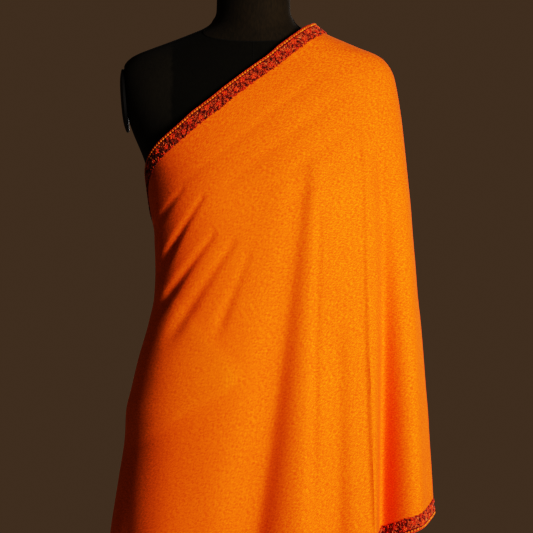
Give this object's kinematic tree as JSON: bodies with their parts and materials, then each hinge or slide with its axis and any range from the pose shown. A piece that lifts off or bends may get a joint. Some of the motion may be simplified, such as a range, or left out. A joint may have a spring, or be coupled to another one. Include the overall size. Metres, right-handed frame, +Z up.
{
  "type": "embroidered stole on a dress form",
  "caption": "Orange wool stole with a narrow embroidered border, draped over one shoulder of a black limbless dress form on a round-based stand.",
  "frame": {"origin": "on the floor, at the middle of the stand base's underside", "axes": "+Z up, +X to the form's left shoulder (right in the front view), -Y the way the form faces"},
  "size_m": [0.5023, 0.4, 1.4993],
  "materials": {
    "stole_wool": "soft twill-woven fine wool, dyed saffron orange",
    "border_embroidery": "silk thread embroidery in reds and maroon with gold picot edge",
    "form_cover": "black stretched jersey cover",
    "stand_paint": "satin black powder coat"
  },
  "bodies": {
    "root": {"stole_front": "stole_wool", "stole_tail": "stole_wool", "stole_back": "stole_wool", "border_top_front": "border_embroidery", "border_hem_front": "border_embroidery", "border_top_tail": "border_embroidery", "border_hem_tail": "border_embroidery", "border_top_back": "border_embroidery", "border_hem_back": "border_embroidery", "form_torso": "form_cover", "form_neck": "form_cover", "form_neck_cap": "form_cover", "form_arm_plate_left": "form_cover", "form_arm_plate_right": "form_cover", "stand_base": "stand_paint", "stand_pole": "stand_paint", "stand_flange": "stand_paint", "stand_collar": "stand_paint"}
  },
  "joints": []
}
